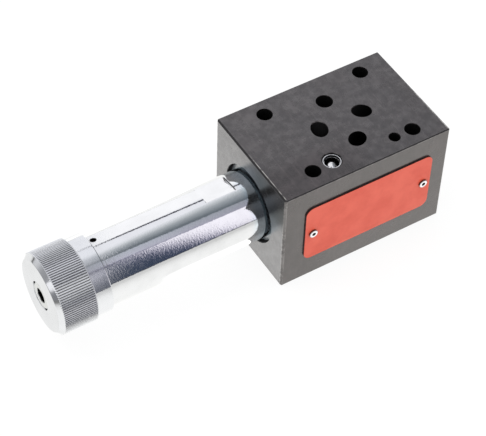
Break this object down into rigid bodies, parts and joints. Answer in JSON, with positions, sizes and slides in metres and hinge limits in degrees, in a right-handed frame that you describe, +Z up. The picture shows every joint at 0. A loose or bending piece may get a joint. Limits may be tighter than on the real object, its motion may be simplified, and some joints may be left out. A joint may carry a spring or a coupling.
{
  "type": "hydraulic sandwich valve",
  "caption": "Ported steel block for stacking between a subplate and a hydraulic valve, with a spring-loaded spool set by a knurled knob on a turned sleeve.",
  "frame": {"origin": "centre of the port pattern on the lower mounting face", "axes": "+X along the block, away from the adjuster knob; +Y from the plate side to the back; +Z up, out of the upper mounting face"},
  "size_m": [0.152, 0.0461, 0.0445],
  "materials": {
    "phosphated_steel": "machined block, dark phosphated",
    "zinc_plate": "bright zinc plate",
    "zinc_plate_knob": "bright zinc plate, knurled",
    "bright_steel": "ground steel",
    "screw_steel": "plated steel",
    "spring_steel": "oiled spring steel",
    "plug_steel": "bright hardened steel",
    "rivet_metal": "bright",
    "red_paint": "satin paint",
    "seal_rubber": "black"
  },
  "bodies": {
    "housing": {"valve_body": "phosphated_steel", "adjuster_sleeve": "zinc_plate", "sleeve_seal": "seal_rubber", "channel_plug_cup": "plug_steel", "channel_plug_ball": "plug_steel", "gauge_plug": "screw_steel", "gauge_plug_seal": "seal_rubber", "name_plate": "red_paint", "plate_rivets": "rivet_metal", "port_seal_p": "seal_rubber", "port_seal_a": "seal_rubber", "port_seal_t": "seal_rubber", "port_seal_b": "seal_rubber", "pressure_spring": "spring_steel"},
    "adjuster": {"adjuster_spring_seat": "bright_steel", "thrust_ball": "bright_steel"},
    "knob": {"adjusting_knob": "zinc_plate_knob", "adjusting_spindle": "bright_steel", "spindle_seal": "seal_rubber", "knob_screw": "screw_steel"},
    "spool": {"control_spool": "bright_steel", "spool_spring_seat": "bright_steel"}
  },
  "joints": [
    {"name": "adjuster_travel", "type": "slide", "parent": "housing", "child": "adjuster", "axis": [1, 0, 0], "range_m": [0, 0.00501], "deforming": ["pressure_spring"]},
    {"name": "knob_turn", "type": "hinge", "parent": "adjuster", "child": "knob", "pos_m": [-0.1058, 0.0002, 0.02195], "axis": [1, 0, 0], "range_deg": [0, 1800]},
    {"name": "spool_slide", "type": "slide", "parent": "housing", "child": "spool", "axis": [-1, 0, 0], "range_m": [0, 0.0035], "stiffness_N_per_m": 3000, "springref_m": -0.003, "deforming": ["pressure_spring"]}
  ],
  "couplings": [
    {"joint": "adjuster_travel", "follows": "knob_turn", "m_per_rad": 0.00015915}
  ]
}
